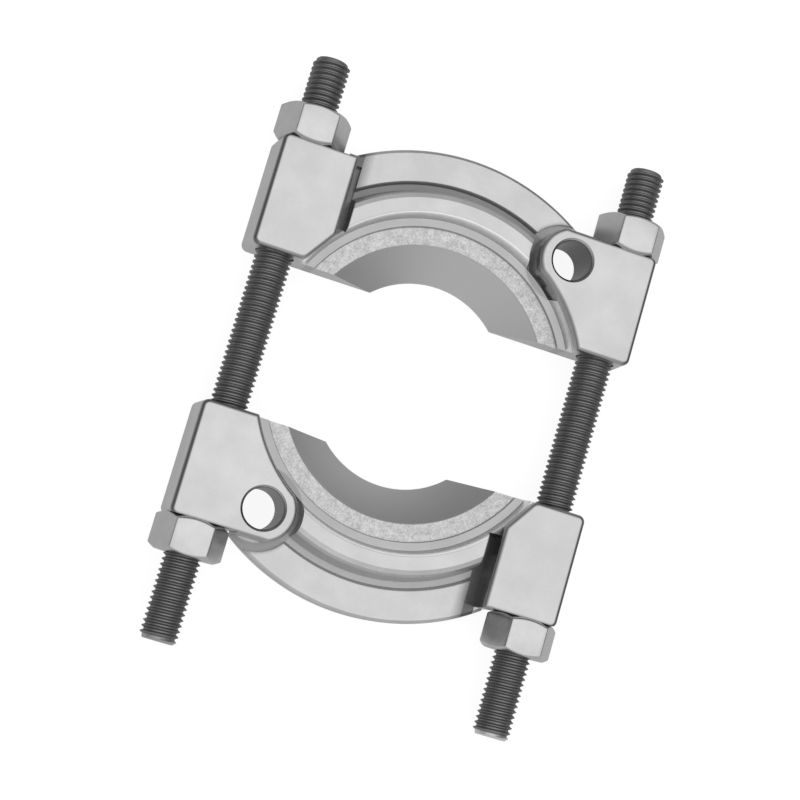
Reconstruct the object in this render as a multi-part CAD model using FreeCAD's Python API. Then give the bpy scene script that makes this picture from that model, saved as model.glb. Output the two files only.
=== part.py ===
import FreeCAD, Part
import math
import os

from FreeCAD import Vector

os.makedirs("parts", exist_ok=True)

# Threaded studs and nuts, five eighths of an inch with 11 threads to the inch
inch = 25.4
stud_d = 0.625 * inch
stud_length = 250.0
stud_chamfer = 1.6
stud_spacing = 144.0
nut_flats = 17 / 16 * inch
nut_height = 39 / 64 * inch
nut_chamfer_angle = 30.0
nut_chamfer_r = nut_flats / 2 + 0.2
nut_clearance = 0.06

# Opening between the two jaw halves as they stand
jaw_gap = 66.0
stud_tail = 35.5

# Jaw half, measured from its parting face and its flat side
jaw_height = 1.0 * inch
ear_beyond_stud = 13.0
ear_side_draft = 3.5
ear_depth = 48.5
ear_inner_x = 51.3
ear_corner_y = 13.8
ear_corner_x = 60.8
ear_inner_round = 4.0
ear_round = 2.0
ear_corner_round = 3.0
seat_cut = 1.0
seat_margin = 1.2
bore_clearance = 0.4

# Arched part of the jaw half, each width outwards from the one before
arch_centre = 28.0
knife_r = 39.0
knife_land = 0.5
cone_width = 14.8
ring_z = 13.0
ring_width = 7.2
ring_wall_lean = 0.5
ring_wall_height = 1.2
groove_width = 3.1
groove_rise = 0.4
ridge_in_lean = 1.7
ridge_in_round = 1.4
ridge_height = 5.2
ridge_width = 8.9
ridge_out_round = 3.0
ridge_out_lean = 2.4
foot_width = 2.6
foot_z = 7.8
foot_wall_lean = 1.2
foot_wall_height = 1.7
flange_width = 13.6
flange_fall = 0.6
flange_round = 1.5

# Puller hole in one ear of each half
hole_d = 17.0
hole_from_ridge = 13.36
hole_to_ear_end = 12.7
hole_chamfer = 1.0
boss_r = 14.0

# Hollows that part the ridge from the plain ear and from the boss
channel_width = 4.4
channel_start_y = 17.5
channel_floor = 6.5
channel_lip = 0.5
moat_width = 3.5

# Radii and heights of the arch's corners
cone_r = knife_r + cone_width
ring_r = cone_r + ring_width
groove_in_r = ring_r + ring_wall_lean
groove_in_z = ring_z + ring_wall_height
groove_out_r = groove_in_r + groove_width
groove_out_z = groove_in_z + groove_rise
ridge_in_r = groove_out_r + ridge_in_lean
ridge_z = groove_out_z + ridge_height
ridge_out_r = ridge_in_r + ridge_width
foot_in_r = ridge_out_r + ridge_out_lean
foot_out_r = foot_in_r + foot_width
flange_in_r = foot_out_r + foot_wall_lean
flange_in_z = foot_z + foot_wall_height
flange_r = flange_in_r + flange_width
flange_z = flange_in_z - flange_fall
hole_y = ear_depth - hole_to_ear_end
hole_x = math.sqrt((ridge_in_r + hole_from_ridge) ** 2 - (hole_y + arch_centre) ** 2)

# The nuts lie with a flat in the plane of the jaws' flat side
stud_z = nut_flats / 2
stud_x = stud_spacing / 2
ear_outer_x = stud_x + ear_beyond_stud
seat_y = ear_depth - seat_cut
nut_corners = nut_flats / math.cos(math.radians(30))
seat_inner_x = stud_x - nut_corners / 2 - seat_margin
big = 400.0
overrun = 5.0


def corner(before, point, after, radius):
    """Start, middle and end of the arc that rounds one corner of an outline."""
    a = (before - point).normalize()
    b = (after - point).normalize()
    half = math.acos(max(-1.0, min(1.0, a.dot(b)))) / 2
    reach = radius / math.tan(half)
    to_centre = (a + b).normalize()
    centre = point + to_centre * (radius / math.sin(half))
    return point + a * reach, centre - to_centre * radius, point + b * reach


def outline(points, faceted=False):
    """Closed wire through (position, corner radius) pairs, its arcs cut to two chords if faceted."""
    stops = []
    count = len(points)
    for i, (point, radius) in enumerate(points):
        if radius:
            before = points[i - 1][0]
            after = points[(i + 1) % count][0]
            stops.append(corner(before, point, after, radius))
        else:
            stops.append((point, None, point))
    edges = []
    for i, (start, middle, end) in enumerate(stops):
        if middle is not None and faceted:
            edges.append(Part.makeLine(start, middle))
            edges.append(Part.makeLine(middle, end))
        elif middle is not None:
            edges.append(Part.Arc(start, middle, end).toShape())
        following = stops[(i + 1) % count][0]
        if (following - end).Length > 1e-6:
            edges.append(Part.makeLine(end, following))
    return Part.Wire(edges)


def disc(x, y, radius):
    """Flat disc on the base plane."""
    circle = Part.makeCircle(radius, Vector(x, y, 0))
    return Part.Face(Part.Wire(circle))


def block(x0, x1, y0, y1, z0, z1):
    return Part.makeBox(x1 - x0, y1 - y0, z1 - z0, Vector(x0, y0, z0))


def side_draft(ear, side):
    """Lean the outer side of an ear inwards towards its top."""
    tool = block(0, big, -big / 2, big / 2, 0, big)
    tool.rotate(Vector(0, 0, 0), Vector(0, 1, 0), -ear_side_draft)
    tool.translate(Vector(ear_outer_x, 0, 0))
    if side < 0:
        tool = tool.mirror(Vector(0, 0, 0), Vector(1, 0, 0))
    return ear.cut(tool)


def upright_outer_edges(ear, side):
    """The two upright corner edges on the outer side of an ear."""
    found = []
    for edge in ear.Edges:
        box = edge.BoundBox
        tall = box.ZLength > jaw_height * 0.8
        outer = side * edge.CenterOfMass.x > ear_outer_x - ear_corner_round
        if tall and outer:
            found.append(edge)
    return found


def top_edges(ear):
    """Edges round the top face, without the sharp edge over the nut seat."""
    found = []
    for edge in ear.Edges:
        box = edge.BoundBox
        on_top = box.ZMin > jaw_height - 1e-4
        over_seat = box.YMin > ear_depth - 1e-3
        if on_top and not over_seat:
            found.append(edge)
    return found


def finished_ear(face, side):
    """Extrude an ear outline, lean its side and round its edges."""
    ear = face.extrude(Vector(0, 0, jaw_height))
    ear = side_draft(ear, side)
    ear = ear.makeFillet(ear_corner_round, upright_outer_edges(ear, side))
    return ear.makeFillet(ear_round, top_edges(ear))


def plain_ear():
    points = [
        (Vector(-ear_outer_x, 0, 0), 0),
        (Vector(-ear_corner_x, 0, 0), ear_inner_round),
        (Vector(-ear_inner_x, ear_corner_y, 0), ear_inner_round),
        (Vector(-ear_inner_x, ear_depth, 0), 0),
        (Vector(-ear_outer_x, ear_depth, 0), 0),
    ]
    return finished_ear(Part.Face(outline(points)), -1)


def hole_ear():
    """Ear whose inner side follows the ridge and closes round the puller hole."""
    hole_reach = math.hypot(hole_x, hole_y + arch_centre)
    touch_x = hole_x * ridge_in_r / hole_reach
    touch_y = (hole_y + arch_centre) * ridge_in_r / hole_reach - arch_centre
    face = Part.Face(outline([
        (Vector(touch_x, 0, 0), 0),
        (Vector(ear_outer_x, 0, 0), 0),
        (Vector(ear_outer_x, ear_depth, 0), 0),
        (Vector(hole_x, ear_depth, 0), 0),
        (Vector(hole_x, hole_y, 0), 0),
        (Vector(touch_x, touch_y, 0), 0),
    ]))
    beyond_seat = Part.Face(outline([
        (Vector(0, ear_depth, 0), 0),
        (Vector(big, ear_depth, 0), 0),
        (Vector(big, big, 0), 0),
        (Vector(0, big, 0), 0),
    ]))
    face = face.fuse(disc(hole_x, hole_y, boss_r))
    face = face.cut([beyond_seat, disc(0, -arch_centre, ridge_in_r)])
    return finished_ear(face.removeSplitter(), 1)


def arch():
    """Knife edge, cone, forged ring, ridge and flange as one turned section."""
    section = [
        ((knife_r, 0.0), 0),
        ((knife_r, knife_land), 0),
        ((cone_r, ring_z), 0),
        ((ring_r, ring_z), 0),
        ((groove_in_r, groove_in_z), 0),
        ((groove_out_r, groove_out_z), 0),
        ((ridge_in_r, ridge_z), ridge_in_round),
        ((ridge_out_r, ridge_z), ridge_out_round),
        ((foot_in_r, foot_z), 0),
        ((foot_out_r, foot_z), 0),
        ((flange_in_r, flange_in_z), 0),
        ((flange_r, flange_z), flange_round),
        ((flange_r, 0.0), 0),
    ]
    points = [(Vector(r, -arch_centre, z), radius) for (r, z), radius in section]
    face = Part.Face(outline(points, faceted=True))
    turned = face.revolve(Vector(0, -arch_centre, 0), Vector(0, 0, 1), 180)
    between_seats = block(-seat_inner_x, seat_inner_x, 0, big, 0, jaw_height)
    beside_seats = block(-stud_x, stud_x, 0, seat_y, 0, jaw_height)
    return turned.common(between_seats.fuse(beside_seats))


def stud_bores():
    radius = stud_d / 2 + bore_clearance
    bores = []
    for side in (-1, 1):
        start = Vector(side * stud_x, -overrun, stud_z)
        length = ear_depth + 2 * overrun
        bores.append(Part.makeCylinder(radius, length, start, Vector(0, 1, 0)))
    return bores


def seat_cuts():
    """Milled faces that the nuts turn on."""
    cuts = []
    for side in (-1, 1):
        x0 = side * seat_inner_x
        x1 = side * (ear_outer_x + overrun)
        y1 = ear_depth + overrun
        z1 = jaw_height + overrun
        cuts.append(block(min(x0, x1), max(x0, x1), seat_y, y1, -overrun, z1))
    return cuts


def puller_hole():
    radius = hole_d / 2
    centre = Vector(hole_x, hole_y, -overrun)
    hole = Part.makeCylinder(radius, jaw_height + 2 * overrun, centre)
    mouth_start = Vector(hole_x, hole_y, jaw_height - hole_chamfer)
    mouth = Part.makeCone(radius, radius + hole_chamfer, hole_chamfer, mouth_start)
    return hole.fuse(mouth)


def ear_channel():
    """Channel that parts the ridge from the plain ear."""
    return block(
        -ear_inner_x, -ear_inner_x + channel_width,
        channel_start_y, ear_depth - channel_lip, channel_floor, jaw_height + overrun
    )


def boss_moat():
    """Moat that parts the ridge from the puller hole's boss."""
    centre = Vector(hole_x, hole_y, foot_z)
    tool = Part.makeCylinder(boss_r + moat_width, jaw_height, centre)
    inside = Part.makeCylinder(groove_out_r, 2 * jaw_height, Vector(0, -arch_centre, 0))
    return tool.cut(inside)


def jaw_half():
    """One forged half with its parting face on y = 0 and its flat side on z = 0."""
    body = arch().cut([ear_channel(), boss_moat()])
    body = body.fuse([plain_ear(), hole_ear()])
    body = body.cut(stud_bores() + seat_cuts() + [puller_hole()])
    body = body.removeSplitter()
    solids = body.Solids
    if len(solids) != 1:
        raise ValueError("the jaw half must be one solid")
    return solids[0]


def stud():
    """Stud along +Y from its lower end."""
    radius = stud_d / 2
    face = Part.Face(outline([
        (Vector(0, 0, 0), 0),
        (Vector(radius - stud_chamfer, 0, 0), 0),
        (Vector(radius, stud_chamfer, 0), 0),
        (Vector(radius, stud_length - stud_chamfer, 0), 0),
        (Vector(radius - stud_chamfer, stud_length, 0), 0),
        (Vector(0, stud_length, 0), 0),
    ]))
    return face.revolve(Vector(0, 0, 0), Vector(0, 1, 0), 360)


def nut():
    """Hexagon nut along +Y with a flat facing up, its seat face on y = 0, its far corners chamfered."""
    corners = []
    for i in range(6):
        angle = math.radians(60 * i)
        reach = nut_corners / 2
        corners.append((Vector(reach * math.cos(angle), 0, reach * math.sin(angle)), 0))
    prism = Part.Face(outline(corners)).extrude(Vector(0, nut_height, 0))
    drop = (nut_corners / 2 - nut_chamfer_r) * math.tan(math.radians(nut_chamfer_angle))
    envelope = Part.Face(outline([
        (Vector(0, 0, 0), 0),
        (Vector(nut_corners / 2, 0, 0), 0),
        (Vector(nut_corners / 2, nut_height - drop, 0), 0),
        (Vector(nut_chamfer_r, nut_height, 0), 0),
        (Vector(0, nut_height, 0), 0),
    ])).revolve(Vector(0, 0, 0), Vector(0, 1, 0), 360)
    body = prism.common(envelope)
    radius = stud_d / 2 + nut_clearance
    start = Vector(0, -overrun, 0)
    bore = Part.makeCylinder(radius, nut_height + 2 * overrun, start, Vector(0, 1, 0))
    return body.cut(bore)


def placed(shape, x, y, z, half_turn=False):
    moved = shape.copy()
    if half_turn:
        moved.rotate(Vector(0, 0, 0), Vector(0, 0, 1), 180)
    moved.translate(Vector(x, y, z))
    return moved


jaw = jaw_half()
seat_from_middle = jaw_gap / 2 + seat_y
stud_start = -(seat_from_middle + nut_height + stud_tail)
one_stud = stud()
one_nut = nut()

parts = {
    "upper_jaw": placed(jaw, 0, jaw_gap / 2, 0),
    "lower_jaw": placed(jaw, 0, -jaw_gap / 2, 0, True),
    "left_stud": placed(one_stud, -stud_x, stud_start, stud_z),
    "right_stud": placed(one_stud, stud_x, stud_start, stud_z),
    "upper_left_nut": placed(one_nut, -stud_x, seat_from_middle, stud_z),
    "upper_right_nut": placed(one_nut, stud_x, seat_from_middle, stud_z),
    "lower_left_nut": placed(one_nut, -stud_x, -seat_from_middle, stud_z, True),
    "lower_right_nut": placed(one_nut, stud_x, -seat_from_middle, stud_z, True),
}
for name, shape in parts.items():
    shape.exportStep("parts/" + name + ".step")
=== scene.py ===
import math

import bmesh
import bpy
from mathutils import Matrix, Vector


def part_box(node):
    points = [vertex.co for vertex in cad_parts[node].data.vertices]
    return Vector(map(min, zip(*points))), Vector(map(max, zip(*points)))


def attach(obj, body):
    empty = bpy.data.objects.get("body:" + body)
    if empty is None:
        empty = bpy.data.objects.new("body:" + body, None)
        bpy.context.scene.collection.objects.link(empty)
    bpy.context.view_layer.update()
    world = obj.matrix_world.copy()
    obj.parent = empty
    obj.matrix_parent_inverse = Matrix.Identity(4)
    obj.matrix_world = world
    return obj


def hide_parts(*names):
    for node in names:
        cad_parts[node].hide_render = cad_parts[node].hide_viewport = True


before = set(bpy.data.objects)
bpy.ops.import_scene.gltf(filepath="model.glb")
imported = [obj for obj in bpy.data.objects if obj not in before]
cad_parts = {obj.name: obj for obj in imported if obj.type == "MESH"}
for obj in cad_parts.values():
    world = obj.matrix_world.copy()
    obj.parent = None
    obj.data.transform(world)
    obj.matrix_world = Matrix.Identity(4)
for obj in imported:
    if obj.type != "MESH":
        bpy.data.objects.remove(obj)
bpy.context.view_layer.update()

bl_info = {
    "name": "Bearing Separator",
    "version": (1, 0, 0),
    "blender": (4, 5, 0),
    "location": "View3D > Sidebar > Separator",
    "description": "Dresses the packed bearing separator and sets its studio",
    "category": "Object",
}

JAWS = ("upper_jaw", "lower_jaw")
STUDS = ("left_stud", "right_stud")
NUTS = ("upper_left_nut", "upper_right_nut", "lower_left_nut", "lower_right_nut")

MM = 0.001

# How far each hollow and edge of a jaw half is mixed towards a dark grey: painted shade in the
# hollows, painted shadow in the upper foot groove and a painted dark reflection on the top edges.
BORE_PAINTED_SHADE = 0.95
MOAT_PAINTED_SHADE = 0.4
UPPER_FOOT_PAINTED_SHADOW = 0.65
LOWER_FOOT_PAINTED_SHADE = 0.15
CHANNEL_PAINTED_SHADE = 0.9
CHANNEL_END_PAINTED_SHADE = 0.6
GROOVE_PAINTED_SHADE = 0.3
TOP_EDGE_PAINTED_REFLECTION = 0.3
SIDE_EDGE_PAINTED_REFLECTION = 0.75
WALL_MATT = 0.6

# Scale, detail and roughness of each grain.
JAW_MOTTLE = (55.0, 4.0, 0.6)
JAW_CLUMPS = (420.0, 4.0, 0.7)
JAW_FINE = (900.0, 3.0, 0.6)
JAW_SPECK = (1500.0, 4.0, 0.75)
STUD_MOTTLE = (260.0, 4.0, 0.6)
STUD_FINE = (1800.0, 3.0, 0.6)
NUT_MOTTLE = (170.0, 3.0, 0.55)
NUT_FINE = (1400.0, 3.0, 0.6)
FLOOR_GRAIN = (3.0, 2.0, 0.5)
TURNING_LINES = 5200.0

# Strength and height of each bump.
JAW_BUMP = (0.35, 0.22 * MM)
STUD_BUMP = (0.25, 0.06 * MM)
NUT_BUMP = (0.08, 0.03 * MM)

FORGED_ROUGHNESS = 0.29
RING_ROUGHNESS = 0.50
CONE_ROUGHNESS = 0.36
STUD_ROUGHNESS = 0.50
NUT_ROUGHNESS = 0.26
FLOOR_ROUGHNESS = 0.9

# How much lighter the lower ends of the studs are coloured.
LEFT_END_LIGHTER = 0.4
RIGHT_END_LIGHTER = 0.85

# The darkest and lightest parts of a colour, over the colour itself.
RING_DARKEST = 0.72
RING_LIGHTEST = 1.35
CONE_LIGHTEST = 1.15
STUD_END_LIGHTEST = 2.2

SMOOTH_ANGLE = math.radians(32)
EDGE_ANGLE = math.radians(24)
SIDE_ANGLE = math.radians(60)
CHAMFER_ANGLE = math.radians(30)
OUTER_SHARE = 0.97
EDGE_SEGMENTS = 3
SPARE_TURNS = 3
WELDS_PER_PITCH = 400
CUT_GAP = 1e-7
WELD_GAP = 1e-6

CAMERA_LENS = 88.273
CAMERA_SENSOR = 36.0
CAMERA_PLACE = (-0.1598, -0.1188, 0.8064)
CAMERA_TURN = (4.3199, -12.8226, 16.5555)

LAMP_PLACE = (0.25, 0.2, 1.3)
LAMP_SIZE = (0.9, 0.9)
LAMP_POWER = 0.41

# Grey levels of the world round the tool, from the far horizon up.
FAR_HORIZON = 0.11
NEAR_HORIZON = 0.586
HALF_WAY_UP = 0.62
WHITE = 1.0

FLOOR_HALF_WIDTH = 3.0
FLOOR_HEIGHT = -2.2 * MM
FLOOR_SHADES = (0.19, 0.215)
FLOOR_GLOW = 0.42
FLOOR_GLOW_SEEN = 0.9


class SeparatorSizes(bpy.types.PropertyGroup):
    thread_pitch: bpy.props.FloatProperty(
        name="Thread pitch", description="Distance the thread climbs in one turn",
        default=25.4 / 11 * MM, unit="LENGTH", subtype="DISTANCE",
    )
    thread_depth: bpy.props.FloatProperty(
        name="Thread depth", description="Radial depth from crest to root",
        default=1.2 * MM, unit="LENGTH", subtype="DISTANCE",
    )
    crest_clearance: bpy.props.FloatProperty(
        name="Crest clearance",
        description="How far the thread crest stays inside the stud's outline",
        default=0.02 * MM, unit="LENGTH", subtype="DISTANCE",
    )
    end_chamfer: bpy.props.FloatProperty(
        name="End chamfer", description="Length and depth of the turned chamfer on the stud ends",
        default=1.6 * MM, unit="LENGTH", subtype="DISTANCE",
    )
    thread_steps: bpy.props.IntProperty(
        name="Thread steps", description="Segments in one turn of the thread",
        default=48, min=12,
    )
    nut_bore: bpy.props.FloatProperty(
        name="Nut bore", description="Radius of the nuts' bore",
        default=7.9975 * MM, unit="LENGTH", subtype="DISTANCE",
    )
    nut_mouth: bpy.props.FloatProperty(
        name="Nut mouth", description="Chamfer round both mouths of the bore",
        default=0.8 * MM, unit="LENGTH", subtype="DISTANCE",
    )
    nut_face_share: bpy.props.FloatProperty(
        name="Nut face share",
        description="Diameter of the nuts' round end face over their width across flats",
        default=0.93,
    )
    nut_edge: bpy.props.FloatProperty(
        name="Nut edge", description="Rounding of the nuts' outer edges",
        default=0.5 * MM, unit="LENGTH", subtype="DISTANCE",
    )
    nut_steps: bpy.props.IntProperty(
        name="Nut steps", description="Segments round a nut, a multiple of six",
        default=72, min=12,
    )
    arch_axis_y: bpy.props.FloatProperty(
        name="Arch axis",
        description="Distance of each jaw's arch axis from the middle of the tool",
        default=5.0 * MM, unit="LENGTH", subtype="DISTANCE",
    )
    cone_radius: bpy.props.FloatProperty(
        name="Cone radius", description="Radius where the turned cone meets the forged ring",
        default=53.8 * MM, unit="LENGTH", subtype="DISTANCE",
    )
    ring_radius: bpy.props.FloatProperty(
        name="Ring radius", description="Outer radius of the forged ring",
        default=61.0 * MM, unit="LENGTH", subtype="DISTANCE",
    )
    ring_height: bpy.props.FloatProperty(
        name="Ring height", description="Height of the forged ring above the flat side",
        default=13.0 * MM, unit="LENGTH", subtype="DISTANCE",
    )
    groove_radius: bpy.props.FloatProperty(
        name="Groove radius", description="Radius where the stepped groove starts",
        default=61.1 * MM, unit="LENGTH", subtype="DISTANCE",
    )
    groove_end: bpy.props.FloatProperty(
        name="Groove end", description="Radius where the stepped groove ends",
        default=64.6 * MM, unit="LENGTH", subtype="DISTANCE",
    )
    ridge_radius: bpy.props.FloatProperty(
        name="Ridge radius", description="Inner radius of the ridge",
        default=66.3 * MM, unit="LENGTH", subtype="DISTANCE",
    )
    foot_start: bpy.props.FloatProperty(
        name="Foot start", description="Radius where the foot groove outside the ridge starts",
        default=75.2 * MM, unit="LENGTH", subtype="DISTANCE",
    )
    foot_end: bpy.props.FloatProperty(
        name="Foot end", description="Radius where the floor of the foot groove ends",
        default=80.2 * MM, unit="LENGTH", subtype="DISTANCE",
    )
    foot_height: bpy.props.FloatProperty(
        name="Foot height", description="Height of the floor of the foot groove",
        default=7.8 * MM, unit="LENGTH", subtype="DISTANCE",
    )
    flange_start: bpy.props.FloatProperty(
        name="Flange start", description="Radius where the flat of the flange starts",
        default=81.6 * MM, unit="LENGTH", subtype="DISTANCE",
    )
    # Below this height the hollows get painted shade; it also bounds the less metallic walls.
    hollow_height: bpy.props.FloatProperty(
        name="Hollow height", description="Height under which the hollows are dull",
        default=18.0 * MM, unit="LENGTH", subtype="DISTANCE",
    )
    top_height: bpy.props.FloatProperty(
        name="Top height", description="Height of the jaws' flat tops",
        default=25.4 * MM, unit="LENGTH", subtype="DISTANCE",
    )
    edge_height: bpy.props.FloatProperty(
        name="Edge height", description="Height where the rounded top edges of the ears start",
        default=23.2 * MM, unit="LENGTH", subtype="DISTANCE",
    )
    side_start: bpy.props.FloatProperty(
        name="Side start",
        description="Distance from the middle plane where the outer edges start",
        default=80.8 * MM, unit="LENGTH", subtype="DISTANCE",
    )
    hole_x: bpy.props.FloatProperty(
        name="Hole x", description="Distance of the puller holes from the middle plane",
        default=47.7 * MM, unit="LENGTH", subtype="DISTANCE",
    )
    hole_y: bpy.props.FloatProperty(
        name="Hole y", description="Distance of the puller holes from the middle of the tool",
        default=68.8 * MM, unit="LENGTH", subtype="DISTANCE",
    )
    hole_radius: bpy.props.FloatProperty(
        name="Hole radius", description="Radius of the puller holes",
        default=8.5 * MM, unit="LENGTH", subtype="DISTANCE",
    )
    boss_radius: bpy.props.FloatProperty(
        name="Boss radius", description="Radius of the boss round a puller hole",
        default=14.0 * MM, unit="LENGTH", subtype="DISTANCE",
    )
    moat_radius: bpy.props.FloatProperty(
        name="Moat radius", description="Outer radius of the moat round a boss",
        default=17.5 * MM, unit="LENGTH", subtype="DISTANCE",
    )
    channel_wall: bpy.props.FloatProperty(
        name="Channel wall", description="Distance of the plain ear from the middle plane",
        default=51.3 * MM, unit="LENGTH", subtype="DISTANCE",
    )
    channel_edge: bpy.props.FloatProperty(
        name="Channel edge", description="Distance of the channel from the middle plane",
        default=46.9 * MM, unit="LENGTH", subtype="DISTANCE",
    )
    # Height under which the channel gets painted shade.
    channel_top: bpy.props.FloatProperty(
        name="Channel top", description="Height under which the channel is dull",
        default=23.6 * MM, unit="LENGTH", subtype="DISTANCE",
    )


class SeparatorColours(bpy.types.PropertyGroup):
    jaw: bpy.props.FloatVectorProperty(
        name="Jaw", description="Plated forging",
        default=(0.655, 0.655, 0.655), subtype="COLOR",
    )
    jaw_shade: bpy.props.FloatVectorProperty(
        name="Jaw shade", description="Darker mottling of the forging",
        default=(0.570, 0.570, 0.570), subtype="COLOR",
    )
    cone: bpy.props.FloatVectorProperty(
        name="Cone", description="Turned cone behind the knife edge",
        default=(0.61, 0.61, 0.61), subtype="COLOR",
    )
    # Near-white colour of the ridge's inner wall.
    ridge_wall_tone: bpy.props.FloatVectorProperty(
        name="Worn", description="Brighter rubbed wall inside the ridge",
        default=(1.0, 1.0, 1.0), subtype="COLOR",
    )
    # Dark grey of the painted shade in the hollows and of the painted dark reflection on the top
    # edges.
    painted_shade_grey: bpy.props.FloatVectorProperty(
        name="Hollow", description="Dull forging skin in bores, grooves and hollows",
        default=(0.10, 0.10, 0.10), subtype="COLOR",
    )
    ring: bpy.props.FloatVectorProperty(
        name="Ring", description="Rough ring left as forged",
        default=(0.66, 0.66, 0.66), subtype="COLOR",
    )
    stud: bpy.props.FloatVectorProperty(
        name="Stud", description="Black oxide",
        default=(0.26, 0.258, 0.258), subtype="COLOR",
    )
    # Lighter grey for the stud's mottling and its lower ends.
    stud_lighter_tone: bpy.props.FloatVectorProperty(
        name="Stud crest", description="Lighter thread crests and turned ends",
        default=(0.42, 0.42, 0.42), subtype="COLOR",
    )
    nut: bpy.props.FloatVectorProperty(
        name="Nut", description="Bright plating",
        default=(0.665, 0.665, 0.665), subtype="COLOR",
    )
    nut_shade: bpy.props.FloatVectorProperty(
        name="Nut shade", description="Duller patches of the plating",
        default=(0.592, 0.592, 0.592), subtype="COLOR",
    )


class Term:
    """A shader value that does arithmetic by adding maths nodes."""

    def __init__(self, tree, socket):
        self.tree = tree
        self.socket = socket

    def apply(self, operation, *others):
        node = self.tree.nodes.new("ShaderNodeMath")
        node.operation = operation
        for slot, value in zip(node.inputs, others):
            if isinstance(value, Term):
                self.tree.links.new(value.socket, slot)
            else:
                slot.default_value = value
        return Term(self.tree, node.outputs[0])

    def __add__(self, other):
        return self.apply("ADD", self, other)

    def __radd__(self, other):
        return self.apply("ADD", other, self)

    def __sub__(self, other):
        return self.apply("SUBTRACT", self, other)

    def __rsub__(self, other):
        return self.apply("SUBTRACT", other, self)

    def __mul__(self, other):
        return self.apply("MULTIPLY", self, other)

    def __rmul__(self, other):
        return self.apply("MULTIPLY", other, self)

    def __truediv__(self, other):
        return self.apply("DIVIDE", self, other)

    def __rtruediv__(self, other):
        return self.apply("DIVIDE", other, self)

    def __pow__(self, other):
        return self.apply("POWER", self, other)

    def __abs__(self):
        return self.apply("ABSOLUTE", self)

    def most(self, other):
        return self.apply("MAXIMUM", self, other)

    def sign(self):
        return self.apply("SIGN", self)

    def sine(self):
        return self.apply("SINE", self)

    def clamped(self):
        held = self.apply("ADD", self, 0.0)
        held.socket.node.use_clamp = True
        return held

    def above(self, limit, soft):
        """0 below the limit and 1 above it, over a soft width."""
        return ((self - (limit - soft / 2)) / soft).clamped()

    def below(self, limit, soft):
        return 1.0 - self.above(limit, soft)

    def between(self, low, low_soft, high, high_soft):
        """1 from the low limit to the high one, each with its own soft width."""
        return self.above(low, low_soft) * self.below(high, high_soft)


class Shading:
    """Builds one node tree for a material or the world."""

    def __init__(self, owner):
        owner.use_nodes = True
        self.tree = owner.node_tree
        self.tree.nodes.clear()

    def node(self, kind, settings=None, values=None):
        made = self.tree.nodes.new(kind)
        for key, value in (settings or {}).items():
            setattr(made, key, value)
        for key, value in (values or {}).items():
            slot = made.inputs[key]
            if isinstance(value, Term):
                self.tree.links.new(value.socket, slot)
            elif isinstance(value, bpy.types.NodeSocket):
                self.tree.links.new(value, slot)
            else:
                slot.default_value = value
        return made

    def term(self, socket):
        return Term(self.tree, socket)

    def mix(self, factor, first, second):
        made = self.node(
            "ShaderNodeMix",
            {"data_type": "RGBA"},
            {0: factor, 6: first, 7: second},
        )
        return made.outputs[2]

    def noise(self, coordinates, scale, detail, roughness):
        made = self.node(
            "ShaderNodeTexNoise",
            {},
            {"Vector": coordinates, "Scale": scale, "Detail": detail, "Roughness": roughness},
        )
        return self.term(made.outputs[0])

    def camera_ray(self):
        return self.node("ShaderNodeLightPath").outputs["Is Camera Ray"]


def grey(level):
    return (level, level, level, 1.0)


def solid(colour, factor=1.0):
    """An opaque colour, made darker or lighter by a factor and held at white."""
    return tuple(min(channel * factor, 1.0) for channel in colour) + (1.0,)


def object_space(shading):
    """Object coordinates and their three terms."""
    place = shading.node("ShaderNodeTexCoord").outputs["Object"]
    split = shading.node("ShaderNodeSeparateXYZ", {}, {0: place})
    return place, [shading.term(socket) for socket in split.outputs]


def finish_metal(shading, colour, roughness, height, strength, distance, metallic=1.0):
    """Metal surface with a varying colour, roughness and bump."""
    bump = shading.node(
        "ShaderNodeBump", {}, {"Strength": strength, "Distance": distance, "Height": height}
    )
    surface = shading.node(
        "ShaderNodeBsdfPrincipled",
        {},
        {
            "Base Color": colour,
            "Metallic": metallic,
            "Roughness": roughness,
            "Normal": bump.outputs[0],
        },
    )
    shading.node("ShaderNodeOutputMaterial", {}, {"Surface": surface.outputs[0]})


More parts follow.
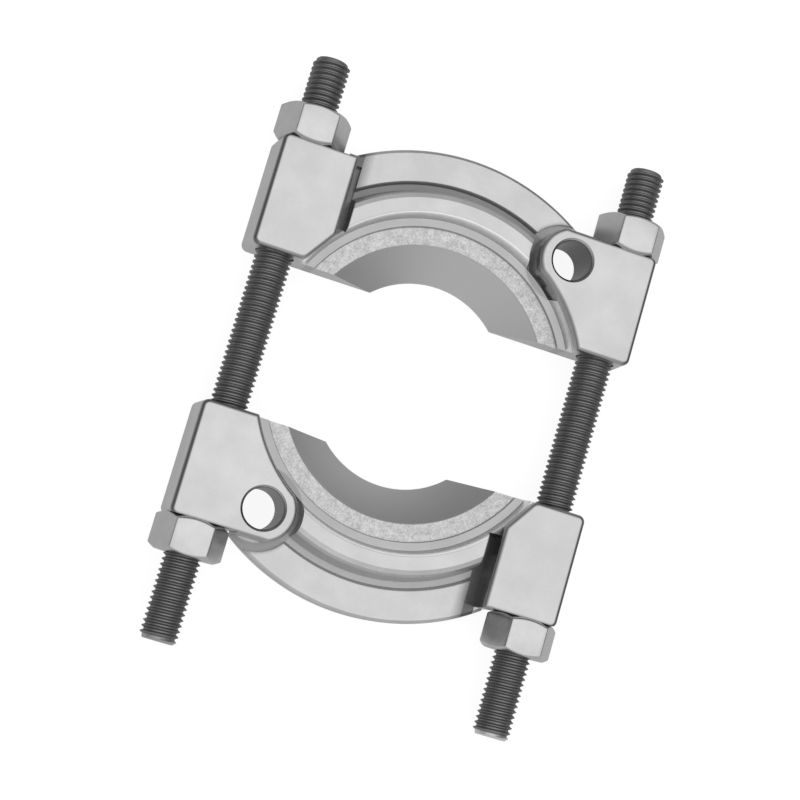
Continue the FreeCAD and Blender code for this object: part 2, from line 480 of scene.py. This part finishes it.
class JawZones:
    """Soft-edged masks over a jaw half, 1 inside each zone, placed alike in both halves."""

    def __init__(self, sizes, x, y, z):
        self.sizes, self.x, self.y, self.z = sizes, x, y, z
        across = abs(y) - sizes.arch_axis_y
        self.radius = (x * x + across * across) ** 0.5
        self.side = x * y.sign()
        self.to_hole = ((self.side - sizes.hole_x) ** 2.0 + (abs(y) - sizes.hole_y) ** 2.0) ** 0.5
        self.low = z.below(sizes.hollow_height, 5 * MM)

    def cone(self):
        inside = self.radius.below(self.sizes.cone_radius - 0.1 * MM, 0.3 * MM)
        return inside * self.z.below(self.sizes.ring_height, 0.4 * MM)

    def ring(self):
        sizes = self.sizes
        inside = self.radius.between(
            sizes.cone_radius - 0.1 * MM, 0.3 * MM, sizes.ring_radius, 0.5 * MM
        )
        return inside * self.z.between(
            sizes.ring_height - 0.8 * MM, 0.5 * MM, sizes.ring_height + 0.6 * MM, 0.3 * MM
        )

    def ridge_wall(self):
        sizes = self.sizes
        inside = self.radius.between(
            sizes.groove_end - 0.2 * MM, 0.3 * MM, sizes.ridge_radius + 0.6 * MM, 0.8 * MM
        )
        return inside * self.z.between(
            sizes.ring_height + 1.7 * MM, 0.4 * MM, sizes.top_height - 5.5 * MM, 0.6 * MM
        )

    def bore(self):
        return self.to_hole.below(self.sizes.hole_radius + 0.2 * MM, 0.2 * MM)

    def moat(self):
        return self.low * self.to_hole.between(
            self.sizes.boss_radius - 0.4 * MM, 0.6 * MM, self.sizes.moat_radius + 0.6 * MM, 1.6 * MM
        )

    def foot(self):
        return self.low * self.radius.between(
            self.sizes.foot_start, 2.4 * MM, self.sizes.foot_end + 0.8 * MM, 0.6 * MM
        )

    def channel(self):
        sizes = self.sizes
        inside = self.side.between(
            -sizes.channel_wall - 0.3 * MM, 0.2 * MM, -sizes.channel_edge + 0.2 * MM, 0.6 * MM
        )
        inside = inside * self.radius.above(sizes.ridge_radius, 0.6 * MM)
        return inside * self.z.below(sizes.channel_top, 0.8 * MM)

    def channel_end(self):
        """The flange beside the channel, fading away from the plain ear."""
        sizes = self.sizes
        inside = self.side.between(
            -sizes.channel_wall, 0.2 * MM, -sizes.channel_edge + 2.4 * MM, 4.4 * MM
        )
        return inside * self.radius.above(sizes.foot_end - 0.6 * MM, 1 * MM) * self.low

    def groove(self):
        return self.low * self.radius.between(
            self.sizes.groove_radius, 0.3 * MM, self.sizes.groove_end, 0.4 * MM
        )

    def top_edge(self):
        """The rounded top edges, but for the boss."""
        sizes = self.sizes
        inside = self.z.between(sizes.edge_height, 1 * MM, sizes.top_height - 0.1 * MM, 0.1 * MM)
        return inside * self.to_hole.above(sizes.boss_radius - 3 * MM, 1 * MM)

    def matt_walls(self):
        """The walls of the moat, and of the foot groove from the ridge's shoulder to the flange."""
        sizes = self.sizes
        moat = self.to_hole.between(
            sizes.boss_radius - 0.2 * MM, 0.4 * MM, sizes.moat_radius + 0.4 * MM, 0.6 * MM
        )
        moat = moat * self.z.below(sizes.hollow_height, 2 * MM)
        foot = self.radius.between(
            sizes.foot_start - 0.6 * MM, 1 * MM, sizes.flange_start, 0.4 * MM
        )
        foot = foot * self.z.between(
            sizes.foot_height - 0.2 * MM, 0.1 * MM, sizes.hollow_height + 5 * MM, 1 * MM
        )
        return moat.most(foot)

    def painted_darkening(self):
        """Painted shade in the bores, grooves, moat and channel, and a painted dark reflection on
        the top edges.
        """
        # The upper jaw's foot groove gets a stronger painted shadow than the lower one's.
        upper = self.y.above(0.0, 1 * MM)
        foot_painted_shadow = upper * (UPPER_FOOT_PAINTED_SHADOW - LOWER_FOOT_PAINTED_SHADE) + LOWER_FOOT_PAINTED_SHADE
        # The outer side edges get a stronger painted dark reflection than the top edges.
        outer = abs(self.x).above(self.sizes.side_start, 1 * MM)
        edge_painted_reflection = outer * (SIDE_EDGE_PAINTED_REFLECTION - TOP_EDGE_PAINTED_REFLECTION) + TOP_EDGE_PAINTED_REFLECTION
        strongest = self.bore() * BORE_PAINTED_SHADE
        for part in (
            self.moat() * MOAT_PAINTED_SHADE,
            self.foot() * foot_painted_shadow,
            self.channel() * CHANNEL_PAINTED_SHADE,
            self.channel_end() * CHANNEL_END_PAINTED_SHADE,
            self.groove() * GROOVE_PAINTED_SHADE,
            self.top_edge() * edge_painted_reflection,
        ):
            strongest = strongest.most(part)
        return strongest


def jaw_material(sizes, colours):
    """Satin forging with a turned cone and a rough forged ring."""
    material = bpy.data.materials.new("plated_forging")
    shading = Shading(material)
    place, (x, y, z) = object_space(shading)
    zones = JawZones(sizes, x, y, z)
    in_cone, on_ring = zones.cone(), zones.ring()
    plain = 1.0 - on_ring - in_cone

    mottle = shading.noise(place, *JAW_MOTTLE)
    clumps = shading.noise(place, *JAW_CLUMPS)
    fine = shading.noise(place, *JAW_FINE)
    speck = shading.noise(place, *JAW_SPECK)
    turning = (zones.radius * TURNING_LINES).sine()

    patch = ((mottle - 0.38) * 2.6 + (fine - 0.5) * 0.5).clamped()
    rough_patch = ((speck - 0.5) * 2.4 + (clumps - 0.5) * 1.5 + 0.5).clamped()
    cone_patch = ((fine - 0.5) * 0.5 + 0.5).clamped()
    colour = shading.mix(patch, solid(colours.jaw_shade), solid(colours.jaw))
    ring_dark, ring_light = solid(colours.ring, RING_DARKEST), solid(colours.ring, RING_LIGHTEST)
    ring = shading.mix(rough_patch, ring_dark, ring_light)
    cone = shading.mix(cone_patch, solid(colours.cone), solid(colours.cone, CONE_LIGHTEST))
    colour = shading.mix(on_ring, colour, ring)
    colour = shading.mix(in_cone, colour, cone)
    # The ridge's inner wall is coloured near white.
    colour = shading.mix(zones.ridge_wall(), colour, solid(colours.ridge_wall_tone))
    # Painted shade in the hollows and a painted dark reflection on the top edges.
    colour = shading.mix(zones.painted_darkening(), colour, solid(colours.painted_shade_grey))

    roughness = plain * (FORGED_ROUGHNESS + (fine - 0.5) * 0.10)
    roughness = roughness + on_ring * RING_ROUGHNESS + in_cone * CONE_ROUGHNESS
    height = plain * (fine * 0.35 + clumps * 0.5) + on_ring * (speck * 1.6 + clumps * 2.2)
    height = height + in_cone * turning * 0.05
    metallic = 1.0 - zones.matt_walls() * WALL_MATT
    finish_metal(shading, colour, roughness, height, *JAW_BUMP, metallic)
    return material


def stud_material(sizes, colours, half_length, middle_y):
    """Black oxide with lighter mottling and lighter lower ends."""
    material = bpy.data.materials.new("black_oxide")
    shading = Shading(material)
    place, (x, y, _) = object_space(shading)
    mottle = shading.noise(place, *STUD_MOTTLE)
    fine = shading.noise(place, *STUD_FINE)
    patch = ((mottle - 0.45) * 1.6 + (fine - 0.5) * 0.8).clamped()
    lighter = solid(c * 0.75 + s * 0.25 for c, s in zip(colours.stud_lighter_tone, colours.stud))
    colour = shading.mix(patch * 0.55, solid(colours.stud), lighter)

    # Only the lower ends are coloured lighter, the right stud's more than the left one's.
    from_end = half_length - abs(y - middle_y)
    end = from_end.below(sizes.end_chamfer * 1.1, 0.4 * MM) * y.below(middle_y, 10 * MM)
    right = x.above(0.0, 10 * MM)
    lighter_end = end * (right * (RIGHT_END_LIGHTER - LEFT_END_LIGHTER) + LEFT_END_LIGHTER)
    colour = shading.mix(lighter_end, colour, solid(colours.stud_lighter_tone, STUD_END_LIGHTEST))
    roughness = STUD_ROUGHNESS + (fine - 0.5) * 0.16
    finish_metal(shading, colour, roughness, fine, *STUD_BUMP)
    return material


def nut_material(colours):
    """Bright satin plating."""
    material = bpy.data.materials.new("bright_plating")
    shading = Shading(material)
    place, _ = object_space(shading)
    mottle = shading.noise(place, *NUT_MOTTLE)
    fine = shading.noise(place, *NUT_FINE)
    patch = ((mottle - 0.36) * 2.4 + (fine - 0.5) * 0.2).clamped()
    colour = shading.mix(patch, solid(colours.nut_shade), solid(colours.nut))
    roughness = NUT_ROUGHNESS + (mottle - 0.5) * 0.10 + (fine - 0.5) * 0.04
    finish_metal(shading, colour, roughness, fine, *NUT_BUMP)
    return material


def new_object(name, bm, material):
    """Turn a bmesh into a smooth-shaded object at the origin."""
    mesh = bpy.data.meshes.new(name)
    bmesh.ops.recalc_face_normals(bm, faces=bm.faces)
    bm.to_mesh(mesh)
    bm.free()
    mesh.materials.append(material)
    for face in mesh.polygons:
        face.use_smooth = True
    mesh.set_sharp_from_angle(angle=SMOOTH_ANGLE)
    piece = bpy.data.objects.new(name, mesh)
    bpy.context.scene.collection.objects.link(piece)
    return piece


def box_measures(box):
    """Centre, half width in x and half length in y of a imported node's box."""
    low, high = box
    centre = [(a + b) / 2 for a, b in zip(low, high)]
    return centre, (high[0] - low[0]) / 2, (high[1] - low[1]) / 2


def thread_outline(bm, radius, depth, pitch, start, turns):
    """Crest, flank, root and flank, repeated along the stud."""
    crest = pitch / 8
    flank = pitch * 5 / 16
    root = pitch - crest - 2 * flank
    stops = (
        (0.0, radius),
        (crest, radius),
        (crest + flank, radius - depth),
        (crest + flank + root, radius - depth),
    )
    verts = []
    for turn in range(turns):
        for along, reach in stops:
            verts.append(bm.verts.new((reach, start + turn * pitch + along, 0.0)))
    edges = [bm.edges.new(pair) for pair in zip(verts, verts[1:])]
    return verts, edges


def cut_to_length(bm, half):
    """Cut both ends of the thread square and close them."""
    for side in (-1, 1):
        geom = list(bm.verts) + list(bm.edges) + list(bm.faces)
        cut = bmesh.ops.bisect_plane(
            bm, geom=geom, dist=CUT_GAP, plane_co=(0, side * half, 0),
            plane_no=(0, side, 0), clear_outer=True,
        )
        rim = [g for g in cut["geom_cut"] if isinstance(g, bmesh.types.BMEdge)]
        bmesh.ops.edgeloop_fill(bm, edges=rim)


def chamfer_ends(bm, radius, half, chamfer):
    """Draw in whatever stands out of the turned chamfer at both ends."""
    for vert in bm.verts:
        allowed = radius - chamfer + (half - abs(vert.co.y))
        reach = math.hypot(vert.co.x, vert.co.z)
        if reach > allowed:
            vert.co.x *= allowed / reach
            vert.co.z *= allowed / reach


def threaded_stud(name, box, sizes, material):
    """Fully threaded stud with turned end chamfers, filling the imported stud's box."""
    centre, outside, half = box_measures(box)
    radius = outside - sizes.crest_clearance
    pitch = sizes.thread_pitch
    turns = math.ceil(2 * half / pitch) + SPARE_TURNS
    start = -half - SPARE_TURNS / 2 * pitch
    bm = bmesh.new()
    verts, edges = thread_outline(bm, radius, sizes.thread_depth, pitch, start, turns)
    steps = sizes.thread_steps
    bmesh.ops.spin(
        bm, geom=verts + edges, cent=(0, 0, 0), axis=(0, 1, 0),
        dvec=(0, pitch / steps, 0), angle=2 * math.pi, steps=steps, use_duplicate=False,
    )
    bmesh.ops.remove_doubles(bm, verts=bm.verts, dist=pitch / WELDS_PER_PITCH)
    cut_to_length(bm, half)
    chamfer_ends(bm, radius, half, sizes.end_chamfer)
    bmesh.ops.remove_doubles(bm, verts=bm.verts, dist=WELD_GAP)
    bmesh.ops.translate(bm, verts=bm.verts, vec=centre)
    return new_object(name, bm, material)


def nut_loop(bm, steps, corner, flat, rim, reach, along):
    """One loop of the nut: a circle of the given reach, or the hexagon with its chamfer."""
    made = bmesh.ops.create_circle(bm, segments=steps, radius=corner)
    for vert in made["verts"]:
        angle = math.atan2(vert.co.y, vert.co.x)
        from_flat = (angle % SIDE_ANGLE) - SIDE_ANGLE / 2
        out = reach or flat / math.cos(from_flat)
        drop = 0.0 if reach else (out - rim) * math.tan(CHAMFER_ANGLE)
        level = along - math.copysign(drop, along)
        vert.co = (out * math.cos(angle), level, out * math.sin(angle))
    return list({edge for vert in made["verts"] for edge in vert.link_edges})


def hexagon_nut(name, box, sizes, material):
    """Hexagon nut with a flat facing up, chamfered at both ends and round the bore's mouths."""
    centre, corner, half = box_measures(box)
    flat = corner * math.cos(SIDE_ANGLE / 2)
    rim = flat * sizes.nut_face_share
    mouth = sizes.nut_bore + sizes.nut_mouth
    inner = half - sizes.nut_mouth
    rings = (
        (sizes.nut_bore, -inner), (mouth, -half), (rim, -half), (None, -half),
        (None, half), (rim, half), (mouth, half), (sizes.nut_bore, inner),
    )
    bm = bmesh.new()
    loops = [
        nut_loop(bm, sizes.nut_steps, corner, flat, rim, reach, along) for reach, along in rings
    ]
    for first, second in zip(loops, loops[1:] + loops[:1]):
        bmesh.ops.bridge_loops(bm, edges=first + second)
    bmesh.ops.recalc_face_normals(bm, faces=bm.faces)
    outer = [
        edge for edge in bm.edges
        if edge.calc_face_angle(0.0) > EDGE_ANGLE
        and min(math.hypot(v.co.x, v.co.z) for v in edge.verts) > flat * OUTER_SHARE
    ]
    bmesh.ops.bevel(
        bm, geom=outer, offset=sizes.nut_edge, segments=EDGE_SEGMENTS, profile=0.5,
        affect="EDGES", material=-1, clamp_overlap=True,
    )
    bmesh.ops.translate(bm, verts=bm.verts, vec=centre)
    return new_object(name, bm, material)


def dress(node, material):
    """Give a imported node's mesh its material."""
    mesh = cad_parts[node].data
    if mesh.materials:
        for i in range(len(mesh.materials)):
            mesh.materials[i] = material
    else:
        mesh.materials.append(material)


class SEPARATOR_OT_jaws(bpy.types.Operator):
    """Give the two jaw halves their forged and turned finish"""

    bl_idname = "separator.jaws"
    bl_label = "Dress Jaws"

    def execute(self, context):
        scene = context.scene
        material = jaw_material(scene.separator_sizes, scene.separator_colours)
        for node in JAWS:
            dress(node, material)
        return {"FINISHED"}


class SEPARATOR_OT_studs(bpy.types.Operator):
    """Build the two fully threaded studs"""

    bl_idname = "separator.studs"
    bl_label = "Build Studs"

    def execute(self, context):
        scene = context.scene
        sizes = scene.separator_sizes
        for node in STUDS:
            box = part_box(node)
            centre, _, half = box_measures(box)
            material = stud_material(sizes, scene.separator_colours, half, centre[1])
            piece = threaded_stud(node + "_threaded", box, sizes, material)
            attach(piece, node)
            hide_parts(node)
        return {"FINISHED"}


class SEPARATOR_OT_nuts(bpy.types.Operator):
    """Build the four chamfered and plated hexagon nuts"""

    bl_idname = "separator.nuts"
    bl_label = "Build Nuts"

    def execute(self, context):
        scene = context.scene
        material = nut_material(scene.separator_colours)
        for node in NUTS:
            piece = hexagon_nut(node + "_chamfered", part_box(node), scene.separator_sizes, material)
            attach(piece, node)
            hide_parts(node)
        return {"FINISHED"}


def overhead_light():
    """Soft square lamp above the tool, aimed at its middle."""
    data = bpy.data.lights.new("overhead", "AREA")
    data.shape = "RECTANGLE"
    data.size, data.size_y = LAMP_SIZE
    data.energy = LAMP_POWER
    lamp = bpy.data.objects.new("overhead", data)
    bpy.context.scene.collection.objects.link(lamp)
    lamp.location = LAMP_PLACE
    lamp.rotation_euler = Vector(LAMP_PLACE).to_track_quat("Z", "Y").to_euler()


def studio_world():
    """White to the camera, bright overhead and darker towards the horizon for reflections."""
    world = bpy.data.worlds.new("studio")
    bpy.context.scene.world = world
    shading = Shading(world)
    direction = shading.node("ShaderNodeTexCoord").outputs["Generated"]
    split = shading.node("ShaderNodeSeparateXYZ", {}, {0: direction})
    forward, up = [shading.term(split.outputs[i]) for i in (1, 2)]
    near_side = (forward * -1.15 - 0.08).clamped()
    horizon = shading.mix(near_side, grey(FAR_HORIZON), grey(NEAR_HORIZON))
    half_way = shading.mix(up.above(0.44, 0.16), horizon, grey(HALF_WAY_UP))
    around = shading.mix(up.above(0.79, 0.22), half_way, grey(WHITE))
    colour = shading.mix(shading.camera_ray(), around, grey(WHITE))
    glow = shading.node("ShaderNodeBackground", {}, {"Color": colour})
    shading.node("ShaderNodeOutputWorld", {}, {"Surface": glow.outputs[0]})


def studio_floor():
    """Pale floor, nearly white to the camera, that still takes the tool's shadow."""
    bm = bmesh.new()
    bmesh.ops.create_grid(bm, x_segments=1, y_segments=1, size=FLOOR_HALF_WIDTH)
    bmesh.ops.translate(bm, verts=bm.verts, vec=(0, 0, FLOOR_HEIGHT))
    material = bpy.data.materials.new("pale_floor")
    shading = Shading(material)
    place, _ = object_space(shading)
    grain = shading.noise(place, *FLOOR_GRAIN)
    dark, light = [grey(level) for level in FLOOR_SHADES]
    glow, glow_seen = grey(FLOOR_GLOW), grey(FLOOR_GLOW_SEEN)
    surface = shading.node(
        "ShaderNodeBsdfPrincipled",
        {},
        {
            "Base Color": shading.mix(grain, dark, light),
            "Roughness": FLOOR_ROUGHNESS,
            "Specular IOR Level": 0.0,
            "Emission Color": shading.mix(shading.camera_ray(), glow, glow_seen),
            "Emission Strength": 1.0,
        },
    )
    shading.node("ShaderNodeOutputMaterial", {}, {"Surface": surface.outputs[0]})
    floor = new_object("floor", bm, material)


def studio_camera():
    """Camera at the photo's viewing angle."""
    data = bpy.data.cameras.new("camera")
    data.sensor_width = CAMERA_SENSOR
    data.lens = CAMERA_LENS
    camera = bpy.data.objects.new("camera", data)
    bpy.context.scene.collection.objects.link(camera)
    camera.location = CAMERA_PLACE
    camera.rotation_euler = [math.radians(angle) for angle in CAMERA_TURN]
    bpy.context.scene.camera = camera


class SEPARATOR_OT_stage(bpy.types.Operator):
    """Set the pale floor, the soft light and the camera"""

    bl_idname = "separator.stage"
    bl_label = "Set Stage"

    def execute(self, context):
        studio_world()
        studio_floor()
        overhead_light()
        studio_camera()
        context.scene.view_settings.view_transform = "Standard"
        return {"FINISHED"}


class SEPARATOR_PT_panel(bpy.types.Panel):
    """Buttons and settings of the bearing separator"""

    bl_idname = "SEPARATOR_PT_panel"
    bl_label = "Bearing Separator"
    bl_space_type = "VIEW_3D"
    bl_region_type = "UI"
    bl_category = "Separator"

    def draw(self, context):
        layout = self.layout
        for group in (context.scene.separator_sizes, context.scene.separator_colours):
            for name in group.bl_rna.properties.keys():
                if name not in ("rna_type", "name"):
                    layout.prop(group, name)
        for operator in OPERATORS:
            layout.operator(operator.bl_idname)


OPERATORS = (
    SEPARATOR_OT_jaws,
    SEPARATOR_OT_studs,
    SEPARATOR_OT_nuts,
    SEPARATOR_OT_stage,
)
CLASSES = (SeparatorSizes, SeparatorColours) + OPERATORS + (SEPARATOR_PT_panel,)


def register():
    for item in CLASSES:
        bpy.utils.register_class(item)
    bpy.types.Scene.separator_sizes = bpy.props.PointerProperty(type=SeparatorSizes)
    bpy.types.Scene.separator_colours = bpy.props.PointerProperty(type=SeparatorColours)


def unregister():
    del bpy.types.Scene.separator_colours
    del bpy.types.Scene.separator_sizes
    for item in reversed(CLASSES):
        bpy.utils.unregister_class(item)


def main():
    register()
    bpy.ops.separator.jaws()
    bpy.ops.separator.studs()
    bpy.ops.separator.nuts()
    bpy.ops.separator.stage()


if __name__ == "__main__":
    main()
